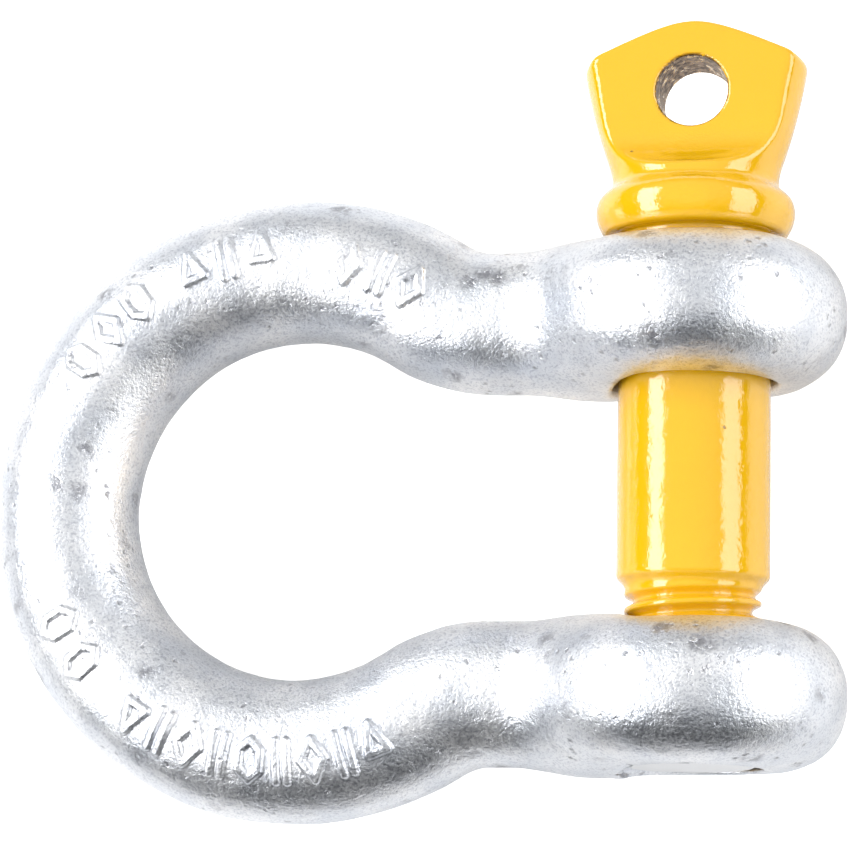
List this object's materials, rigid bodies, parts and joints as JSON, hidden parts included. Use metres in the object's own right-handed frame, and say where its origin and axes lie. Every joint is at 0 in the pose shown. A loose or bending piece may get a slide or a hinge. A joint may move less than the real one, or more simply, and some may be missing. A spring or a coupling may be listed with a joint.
{
  "type": "bow shackle",
  "caption": "Screw-pin bow shackle: a rounded galvanised steel bow with two ears, closed by a painted screw pin with a collar and a flat eye head.",
  "frame": {"origin": "on the pin's axis, half way between the two ears", "axes": "+Y along the pin towards its head, -X towards the crown of the bow, +Z square to the plane of the bow, which lies flat"},
  "size_m": [0.143, 0.1329, 0.05],
  "materials": {
    "galvanised_bow": "hot-dip galvanised, grainy satin",
    "painted_pin": "thick glossy yellow paint"
  },
  "bodies": {
    "bow": {"bow": "galvanised_bow"},
    "pin": {"screw_pin": "painted_pin"}
  },
  "joints": [
    {"name": "pin_slide", "type": "slide", "parent": "bow", "child": "pin", "axis": [0, 1, 0], "range_m": [-0.0014, 0.09]}
  ]
}
